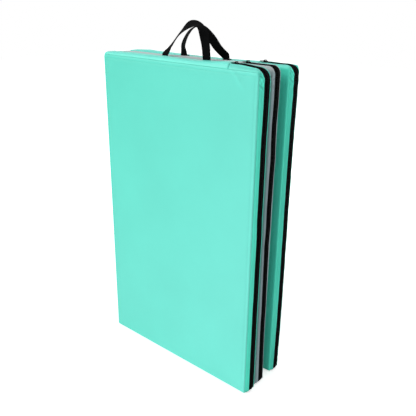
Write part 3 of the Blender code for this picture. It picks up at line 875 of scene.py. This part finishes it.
def face_stitches(panel, side, word):
    """A row of topstitching round a face, in its groove."""
    middle, crown = MIDDLES[panel], CROWNS[panel][side]
    a = PANEL_WIDTH / 2 - STITCH_INSET - STITCH_CORNER
    b = PANEL_HEIGHT / 2 - STITCH_INSET - STITCH_CORNER
    loop = []
    for cx, cz, first in ((a, b, 90), (a, -b, 0), (-a, -b, -90), (-a, b, -180)):
        for angle in np.radians(np.linspace(first, first - 90, 7)):
            loop.append((cx + STITCH_CORNER * math.cos(angle), cz + STITCH_CORNER * math.sin(angle)))
    loop = np.array(loop + loop[:1])
    run = run_along(loop)
    fine = np.arange(0.0, run[-1], 0.002)
    points = []
    for x, z in zip(np.interp(fine, run, loop[:, 0]), np.interp(fine, run, loop[:, 1])):
        height = face_height(panel, side, x, z, face_inset(x, z)[0], crown)
        points.append((x, middle + side * (height + 0.00005), z + MID_HEIGHT))
    normals = np.tile((0.0, float(side), 0.0), (len(points), 1))
    name = f"{panel}_{word}_thread"
    obj = sew(name, panel, FACE_THREAD, FACE_STITCH, np.array(points), normals, fine)
    if crown:
        obj.data.materials[0] = MATERIALS["mint_face"]


# Foam
FOAM_WIDTH = PANEL_WIDTH - 0.006
FOAM_THICKNESS = PANEL_THICKNESS - 0.0045
FOAM_HEIGHT = PANEL_HEIGHT - 0.006
FOAM_EDGE = 0.012


def foam_core(panel):
    """The foam slab inside, its edges eased."""
    bm = bmesh.new()
    bmesh.ops.create_cube(bm, size=1.0)
    size = Vector((FOAM_WIDTH, FOAM_THICKNESS, FOAM_HEIGHT))
    centre = Vector((0.0, MIDDLES[panel], MID_HEIGHT))
    bmesh.ops.transform(bm, matrix=Matrix.LocRotScale(centre, None, size), verts=bm.verts)
    geom = bm.edges[:] + bm.verts[:]
    bmesh.ops.bevel(bm, geom=geom, offset=FOAM_EDGE, segments=5, profile=0.5, affect="EDGES")
    mesh = bpy.data.meshes.new(f"{panel}_foam")
    bm.to_mesh(mesh)
    bm.free()
    mesh.shade_smooth()
    obj = show(f"{panel}_foam", mesh)
    seat(obj, panel, "white_foam", f"{panel}_foam_core")


# Fold strips: the section from the panel's seam to the fold, and how the grey half laps over
FOLD_LINE = (
    (-0.0086, 0.0046), (-0.0074, 0.0042), (-0.0062, 0.0026), (-0.0046, 0.001),
    (-0.0026, 0.00055), (-0.001, 0.00045), (-0.0003, 0.0003), (0.0, 0.0),
)
FOLD_REACH = -FOLD_LINE[0][0]
FOLD_ROWS = 160
FOLD_SLACK = (0.0007, 24)
LAP_OVER = 0.0008
LAP_SHORT = 0.004


def fold_strip(edge, word, side, slot):
    """Half of a fold strip: out from one panel's seam to the fold, where it meets the other half.

    side is the panel edge in X. The grey half laps over the fold and down the mint half.
    """
    face = SIDES[word]
    hinge_y = side * -FOLD_Y
    line = FOLD_LINE
    short = LAP_SHORT
    if slot == "grey_vinyl":
        line = FOLD_LINE[:-1] + tuple((x + LAP_OVER, -y - LAP_OVER) for x, y in FOLD_LINE[-1:1:-1])
        short = 0.0
    points, uv = [], []
    for share in spaced(-1, 1, FOLD_ROWS):
        for k, (x, y) in enumerate(line):
            out = (x + FOLD_REACH) / FOLD_REACH
            reach = PANEL_HEIGHT / 2 - FOLD_END_INSET - FOLD_CORNER * out**1.6 - short
            z = share * reach
            slack = FOLD_SLACK[0] * wave(z * FOLD_SLACK[1], k * 0.1, seed=side * 3.0) * out
            point = Vector((side * (FOLD_X + x + slack * 0.4), hinge_y + face * y, 0.0))
            if side < 0 and face > 0:
                point = FAN @ point
            points.append((point.x, point.y, z + MID_HEIGHT))
            uv.append((z, k * 0.0015))
    obj = make_mesh(f"{edge}_fold_strip_{word}", points, grid_faces(FOLD_ROWS + 1, len(line)), uv)
    thicken(obj, FOLD_VINYL, 0.0)
    settle(obj)
    outward(obj)
    obj.data.materials.append(MATERIALS[slot])
    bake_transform(obj)
    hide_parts(f"{edge}_fold_leaf_{word}")


# Handles: (x, height over the hinge, lean off the seam) in millimetres, and the twist in degrees
FRONT_LOOP = (
    (-72, 0, 0, 74),
    (-66.5, 10, 5, 60),
    (-56, 28, 14, 43),
    (-23, 62, 13, 38),
    (15, 87.5, 14, 60),
    (56, 84, 11, 17),
    (78.5, 46, 5, 64),
    (89.5, 0, 0, 76),
)
REAR_LOOP = (
    (-68, 0, 0, 76),
    (-65, 25, 5, 66),
    (-33, 61, 18, 45),
    (11, 81, 26, 12),
    (46, 54, 22, 50),
    (72, 22, 16, 82),
    (88.5, 0, 0, 86),
)
# Each handle's keys, and the side of its panel's middle plane that it is sewn into
HANDLES = {"front": (FRONT_LOOP, 1), "rear": (REAR_LOOP, -1)}
LOOP_STEPS = 12
# The sewn end below the hinge, from its tip: (distance in from the seam, height)
STRAP_TAIL = (
    (0.012, 1.0093), (0.008, 1.008), (0.004, 1.0052), (0.0012, 1.0034), (0.0, 1.0042),
    (0.0, 1.0062), (0.0, 1.0085), (0.0, 1.0112), (0.0, 1.0142),
)
# The length over which each foot turns from flat along its seam to the loop's twist
FOOT_EASES = {"front": (0.04, 0.01), "rear": (0.024, 0.012)}
TAIL_EASE_FROM = 5
STRAP_RIBS = 12
RIB_HEIGHT = 0.0001
SELVEDGE = 0.0008


def loop_ribbon(keys, lean, middle):
    """Centre points and width directions along a handle's loop, in its panel's frame."""
    knots = np.array([
        (x / 1000, middle - lean * off / 1000, HINGE_HEIGHT + height / 1000, twist)
        for x, height, off, twist in keys
    ])
    knots = np.vstack([2 * knots[0] - knots[1], knots, 2 * knots[-1] - knots[-2]])
    path = []
    for i in range(1, len(knots) - 2):
        a, b, c, d = knots[i - 1 : i + 3]
        for k in range(LOOP_STEPS):
            t = k / LOOP_STEPS
            square = (2 * a - 5 * b + 4 * c - d) * t**2
            cube = (3 * b - a - 3 * c + d) * t**3
            path.append(b + 0.5 * ((c - a) * t + square + cube))
    path.append(knots[-2])
    path = np.array(path)
    centres = path[:, :3]
    twists = np.radians(path[:, 3:])
    ahead = unit(np.gradient(centres, axis=0))
    level = unit(np.array([0.0, 1.0, 0.0]) - ahead * ahead[:, 1:2])
    return centres, np.cos(twists) * level + np.sin(twists) * np.cross(ahead, level)


def strap_profile():
    """The webbing's section: two flat faces, ribbed, between fuller woven edges."""
    half, thick = WEBBING_WIDTH / 2, WEBBING / 2
    top = []
    for i, across in enumerate(spaced(-half + SELVEDGE, half - SELVEDGE, STRAP_RIBS)):
        lift = 0.0 if i % 2 or i in (0, STRAP_RIBS) else -RIB_HEIGHT
        top.append((across, thick + lift))
    edge = [(half - 0.0002, thick * 0.7), (half, 0.0), (half - 0.0002, -thick * 0.7)]
    bottom = [(x, -y) for x, y in reversed(top)]
    back = [(-x, -y) for x, y in edge]
    return top + edge + bottom + back


def handle(panel):
    """A strap in one piece: sewn end, loop, sewn end, each foot lying flat along its seam."""
    keys, side = HANDLES[panel]
    middle = MIDDLES[panel] + side * STRAP_DEPTH
    centres, widths = loop_ribbon(keys, -side, middle)
    first, last = (
        [(foot, middle - side * inward, z) for inward, z in STRAP_TAIL] for foot in handle_feet(panel)[0]
    )
    centres = np.vstack([first, centres, last[::-1]])
    widths = np.vstack([[widths[0]] * len(first), widths, [widths[-1]] * len(last)])
    keep = apart(centres, 1e-5)
    centres, widths = centres[keep], widths[keep]
    tangents = unit(np.gradient(centres, axis=0))
    run = run_along(centres)
    feet = (run - run[TAIL_EASE_FROM], run[-1 - TAIL_EASE_FROM] - run)
    for distances, ease in zip(feet, FOOT_EASES[panel]):
        for i, distance in enumerate(distances):
            share = float(np.clip(distance / ease, 0, 1))
            seam = np.array([math.copysign(1.0, widths[i, 0]), 0.0, 0.0])
            widths[i] = (1 - share) * seam + share * widths[i]
            widths[i] /= np.linalg.norm(widths[i])
    normals = unit(np.cross(tangents, widths))
    profile = strap_profile()
    points, uv = [], []
    for centre, width, normal, at in zip(centres, widths, normals, run):
        for across, up in profile:
            points.append(centre + width * across + normal * up)
            uv.append((at, across + (0.03 if up > 0 else 0.0)))
    rows, columns = len(centres), len(profile)
    faces = grid_faces(rows, columns, closed=True) + [cap[::-1] for cap in end_caps(rows, columns)]
    obj = make_mesh(f"{panel}_handle_strap", points, faces, uv)
    outward(obj)
    obj.data.transform(PLACES[panel])
    obj.data.materials.append(MATERIALS["black_webbing"])
    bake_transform(obj)
    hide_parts(f"{panel}_handle_loop", f"{panel}_handle_end_left", f"{panel}_handle_end_right")


# Materials
MINT_FACE = (0.0935, 0.622, 0.493)
MINT_FACE_PAINTED_LIT = (0.168, 0.742, 0.631)
# The walls' mint is more saturated than the faces': painted shade, for the deep green of the mint walls
# in shade
MINT = (0.084, 0.79, 0.59)
MINT_TOP_PAINTED_LIT = (0.16, 0.745, 0.625)
GREY = (0.25, 0.325, 0.35)
GREY_TOP_PAINTED_LIT = (0.42, 0.47, 0.48)
TAPE_BLACK = (0.0016, 0.0016, 0.0018)
WEBBING_BLACK = (0.002, 0.002, 0.0023)
METAL_BLACK = (0.0022, 0.0022, 0.0025)
FOAM_WHITE = (0.8, 0.8, 0.77)
# The faces' second tint is painted light: the faces are painted paler downwards, and towards the right
FACE_PAINTED_LIGHT = (1.4, 0.0, -1.2)
# The walls' second tint is painted light: a paler veil on the level top
TOP_PAINTED_LIGHT = (0.998, 1.008, 0.0)
SHADE_DEPTH = 0.16


class Nodes:
    """A node tree, with short ways to add nodes and feed their sockets."""

    def __init__(self, owner):
        owner.use_nodes = True
        self.owner = owner
        self.tree = owner.node_tree

    def feed(self, socket, value):
        """Give a socket a value, or link another node's output to it."""
        if isinstance(value, bpy.types.NodeSocket):
            self.tree.links.new(value, socket)
        else:
            socket.default_value = value

    def add(self, kind, **settings):
        """A node, with settings of its own or for its inputs."""
        node = self.tree.nodes.new("ShaderNode" + kind)
        for key, value in settings.items():
            if key in node.inputs.keys():
                self.feed(node.inputs[key], value)
            else:
                setattr(node, key, value)
        return node

    def place(self):
        """Where a point is, in metres."""
        return self.add("TexCoord").outputs["Object"]

    def maths(self, operation, *values):
        """A sum on values or outputs."""
        node = self.add("Math", operation=operation)
        for socket, value in zip(node.inputs, values):
            self.feed(socket, value)
        return node.outputs[0]

    def noise(self, place, scale, detail, roughness=0.5):
        """Cloudy noise between 0 and 1."""
        settings = {"Vector": place, "Scale": scale, "Detail": detail, "Roughness": roughness}
        return self.add("TexNoise", **settings).outputs["Fac"]

    def cells(self, place, scale):
        """Distance to the middle of the nearest cell."""
        return self.add("TexVoronoi", Vector=place, Scale=scale).outputs["Distance"]

    def ramp(self, source, *stops):
        """A colour ramp over a value."""
        node = self.add("ValToRGB", Fac=source)
        for element, (at, colour) in zip(node.color_ramp.elements, stops):
            element.position = at
            element.color = (*colour, 1.0)
        return node.outputs["Color"]

    def to_range(self, source, low, high, start=0.0, end=1.0, **settings):
        """Map a value between start and end to one between low and high."""
        settings |= {"Value": source, "From Min": start, "From Max": end, "To Min": low, "To Max": high}
        return self.add("MapRange", **settings).outputs["Result"]

    def bump(self, height, strength, distance, **under):
        """A normal that follows a height, over another normal if given."""
        settings = {"Height": height, "Strength": strength, "Distance": distance, **under}
        return self.add("Bump", **settings).outputs["Normal"]

    def end(self, shader, **sockets):
        """Feed the tree's shader, and hand back what the tree belongs to."""
        for name, value in sockets.items():
            self.feed(self.tree.nodes[shader].inputs[name.replace("_", " ")], value)
        return self.owner


def new_material(name):
    """The nodes of a fresh material."""
    return Nodes(bpy.data.materials.new(name + "_look"))


def surface(nodes, colour, roughness, normal, specular, **more):
    """End a material: its shader's colour, roughness, normal and strength of reflection."""
    looks = {"Base_Color": colour, "Roughness": roughness, "Normal": normal}
    return nodes.end("Principled BSDF", **looks, Specular_IOR_Level=specular, **more)


def scaled(colour, factor):
    """A paler or darker colour."""
    return tuple(min(c * factor, 1.0) for c in colour)


def vinyl(name, colour, other, tint):
    """PVC-coated cloth: fine embossed grain, uneven sheen, mottling, a paler second tint by height that
    is painted light, and the painted light and shade of the shade attribute.
    """
    # The second colour is painted light: it takes over between the given heights, leaning along x
    from_height, to_height, lean = tint
    nodes = new_material(name)
    place = nodes.place()
    mottle = nodes.noise(place, 5.0, 4.0, 0.55)
    tints = [
        nodes.ramp(mottle, (0.3, scaled(tone, 0.975)), (0.7, scaled(tone, 1.02)))
        for tone in (colour, other)
    ]
    x, _, z = nodes.add("SeparateXYZ", Vector=place).outputs
    height = nodes.to_range(nodes.maths("MULTIPLY_ADD", x, lean, z), 0.0, 1.0, from_height, to_height)
    mix = nodes.add("Mix", data_type="RGBA")
    for index, value in ((0, height), (6, tints[0]), (7, tints[1])):
        nodes.feed(mix.inputs[index], value)
    # The shade attribute brings streaks and clouds, and painted shade, highlights and shadow
    shade = nodes.add("Attribute", attribute_name="shade").outputs["Fac"]
    shade = nodes.maths("MULTIPLY_ADD", shade, SHADE_DEPTH, 1.0)
    toned = nodes.add("VectorMath", operation="SCALE", Vector=mix.outputs[2], Scale=shade)
    sheen = nodes.to_range(nodes.noise(place, 38.0, 5.0, 0.6), 0.36, 0.52)
    grain = nodes.bump(nodes.cells(place, 950.0), 0.25, 0.0002)
    skin = nodes.bump(nodes.noise(place, 120.0, 3.0), 0.2, 0.0006, Normal=grain)
    return surface(nodes, toned.outputs["Vector"], sheen, skin, 0.28)


def woven(name, colour, along_pitch, across_pitch, depth, sheen):
    """Cloth woven of thick threads, from its UV map in metres."""
    nodes = new_material(name)
    uv = nodes.add("UVMap", uv_map="UVMap").outputs["UV"]
    run, across, _ = nodes.add("SeparateXYZ", Vector=uv).outputs

    def sine(source, pitch):
        return nodes.maths("SINE", nodes.maths("MULTIPLY_ADD", source, 2 * math.pi / pitch, 0.0))

    ribs = sine(across, across_pitch)
    picks = sine(nodes.maths("ADD", run, across), along_pitch)
    height = nodes.maths("MULTIPLY_ADD", nodes.maths("MULTIPLY", ribs, picks), 0.5, 0.5)
    tint = nodes.ramp(height, (0.1, scaled(colour, 0.6)), (0.9, scaled(colour, 1.6)))
    fuzz = nodes.to_range(nodes.noise(uv, 900.0, 2.0), 0.67, 0.83)
    weave = nodes.bump(height, 0.8, depth)
    return surface(nodes, tint, fuzz, weave, 0.03, Sheen_Weight=sheen, Sheen_Roughness=0.5)


def enamel(name, colour):
    """Black enamelled zinc, with fine casting texture and worn patches."""
    nodes = new_material(name)
    place = nodes.place()
    wear = nodes.noise(place, 420.0, 6.0, 0.7)
    tint = nodes.ramp(wear, (0.45, colour), (0.72, scaled(colour, 2.0)))
    cast = nodes.bump(nodes.noise(place, 1800.0, 2.0), 0.3, 0.00008)
    return surface(nodes, tint, nodes.to_range(wear, 0.35, 0.6), cast, 0.04)


def foam(name, colour):
    """Open-cell foam."""
    nodes = new_material(name)
    cells = nodes.cells(nodes.place(), 700.0)
    tint = nodes.ramp(cells, (0.0, scaled(colour, 0.7)), (0.6, colour))
    return surface(nodes, tint, 0.95, nodes.bump(cells, 0.7, 0.0006), 0.5)


MATERIALS = {
    "mint_face": vinyl("mint_face", MINT_FACE, MINT_FACE_PAINTED_LIT, FACE_PAINTED_LIGHT),
    "mint_vinyl": vinyl("mint_vinyl", MINT, MINT_TOP_PAINTED_LIT, TOP_PAINTED_LIGHT),
    "grey_vinyl": vinyl("grey_vinyl", GREY, GREY_TOP_PAINTED_LIT, TOP_PAINTED_LIGHT),
    "black_tape": woven("black_tape", TAPE_BLACK, 0.0016, 0.0011, 0.00015, 0.0),
    "black_webbing": woven("black_webbing", WEBBING_BLACK, 0.003, 0.0042, 0.00035, 0.01),
    "black_zip_metal": enamel("black_zip_metal", METAL_BLACK),
    "white_foam": foam("white_foam", FOAM_WHITE),
}

# Studio
IMAGE_SIZE = 416
FOCAL_PIXELS = 547.1
SENSOR_WIDTH = 36.0
CAMERA_YAW = math.radians(-39.973)
CAMERA_PITCH = math.radians(21.712)
CAMERA_ROLL = math.radians(0.832)
CAMERA_PLACE = Vector((1.1045, -1.2268, 1.1949))
WORLD_LEVEL = 0.3
FLOOR_REACH = 8.0
FLOOR_DROP = 0.0002
FLOOR_LIFT = 0.62
FLOOR_GREY = 0.86
# The floor's own glow grows to white between these distances from the mat
GLOW_FROM = 0.5
GLOW_TO = 1.6
# Each lamp: name, place, what it aims at, size, power in watts
LAMPS = (
    ("key", (-4.4, -5.4, 3.9), (0.0, 0.0, 0.45), (3.6, 3.6), 395.0),
    ("bounce", (0.3, -2.6, 0.35), (0.1, 0.0, 0.3), (2.0, 0.7), 13.0),
    ("fill", (3.0, 0.7, 1.0), (0.0, 0.0, 0.45), (2.0, 2.0), 25.0),
    ("back", (1.6, 4.2, 2.2), (0.0, 0.0, 0.5), (2.4, 2.4), 55.0),
    ("top", (0.0, 0.4, 3.4), (0.0, 0.0, 0.5), (2.6, 2.6), 20.0),
)


def add_world():
    """A white backdrop that lights the mat less than it shows."""
    nodes = Nodes(bpy.data.worlds.new("studio"))
    path = nodes.add("LightPath").outputs
    seen = nodes.maths("MAXIMUM", path["Is Camera Ray"], path["Is Glossy Ray"])
    seen = nodes.maths("MAXIMUM", seen, path["Is Transmission Ray"])
    level = nodes.to_range(seen, WORLD_LEVEL, 1.0)
    bpy.context.scene.world = nodes.end("Background", Strength=level, Color=(1, 1, 1, 1))


def add_floor():
    """A plain pale floor that fades to white."""
    mesh = bpy.data.meshes.new("floor")
    corners = ((-1, -1), (1, -1), (1, 1), (-1, 1))
    mesh.from_pydata([(x * FLOOR_REACH, y * FLOOR_REACH, 0) for x, y in corners], [], [(0, 1, 2, 3)])
    floor = show("floor", mesh)
    floor.location.z = -FLOOR_DROP
    nodes = new_material("floor")
    seen = nodes.add("LightPath").outputs["Is Camera Ray"]
    far = nodes.add("VectorMath", operation="LENGTH", Vector=nodes.place()).outputs["Value"]
    settings = {"interpolation_type": "SMOOTHSTEP"}
    glow = nodes.to_range(far, FLOOR_LIFT, 1.0, GLOW_FROM, GLOW_TO, **settings)
    looks = {"Base_Color": (FLOOR_GREY, FLOOR_GREY, FLOOR_GREY, 1), "Roughness": 0.9}
    looks |= {"Specular_IOR_Level": 0.0, "Emission_Color": (1, 1, 1, 1)}
    looks["Emission_Strength"] = nodes.maths("MULTIPLY", seen, glow)
    mesh.materials.append(nodes.end("Principled BSDF", **looks))


def add_lamps():
    """Soft light from large panels."""
    for name, place, aim, size, power in LAMPS:
        light = bpy.data.lights.new(name, "AREA")
        light.shape = "RECTANGLE"
        light.size, light.size_y = size
        light.energy = power
        lamp = show(name, light)
        lamp.location = place
        lamp.rotation_euler = (Vector(aim) - Vector(place)).to_track_quat("-Z", "Y").to_euler()


def add_camera():
    """The camera at the photo's angle."""
    lens = bpy.data.cameras.new("camera")
    lens.sensor_width = SENSOR_WIDTH
    lens.lens = SENSOR_WIDTH * FOCAL_PIXELS / IMAGE_SIZE
    camera = show("camera", lens)
    bpy.context.scene.camera = camera
    forward = Vector((
        math.sin(CAMERA_YAW) * math.cos(CAMERA_PITCH),
        math.cos(CAMERA_YAW) * math.cos(CAMERA_PITCH),
        -math.sin(CAMERA_PITCH),
    ))
    level_right = Vector((math.cos(CAMERA_YAW), -math.sin(CAMERA_YAW), 0.0))
    level_up = level_right.cross(forward)
    right = math.cos(CAMERA_ROLL) * level_right + math.sin(CAMERA_ROLL) * level_up
    up = -math.sin(CAMERA_ROLL) * level_right + math.cos(CAMERA_ROLL) * level_up
    turn = Matrix((right, up, -forward)).transposed().to_4x4()
    camera.matrix_world = Matrix.Translation(CAMERA_PLACE) @ turn


for panel in MIDDLES:
    foam_core(panel)
    plain_boxing(panel)
    for word, side in SIDES.items():
        face_sheet(panel, side, word)
        face_stitches(panel, side, word)
        zip_wall(panel, side, word)
        zip_tape(panel, side, word)
        hem_stitches(panel, side, word)
    zip_chain(panel)
    hardware(panel)
for panel in HANDLES:
    handle(panel)
fold_strip("right", "fore", 1, "mint_vinyl")
fold_strip("right", "aft", 1, "grey_vinyl")
fold_strip("left", "fore", -1, "grey_vinyl")
fold_strip("left", "aft", -1, "mint_vinyl")
bpy.context.scene.view_settings.view_transform = "Standard"
add_world()
add_floor()
add_lamps()
add_camera()
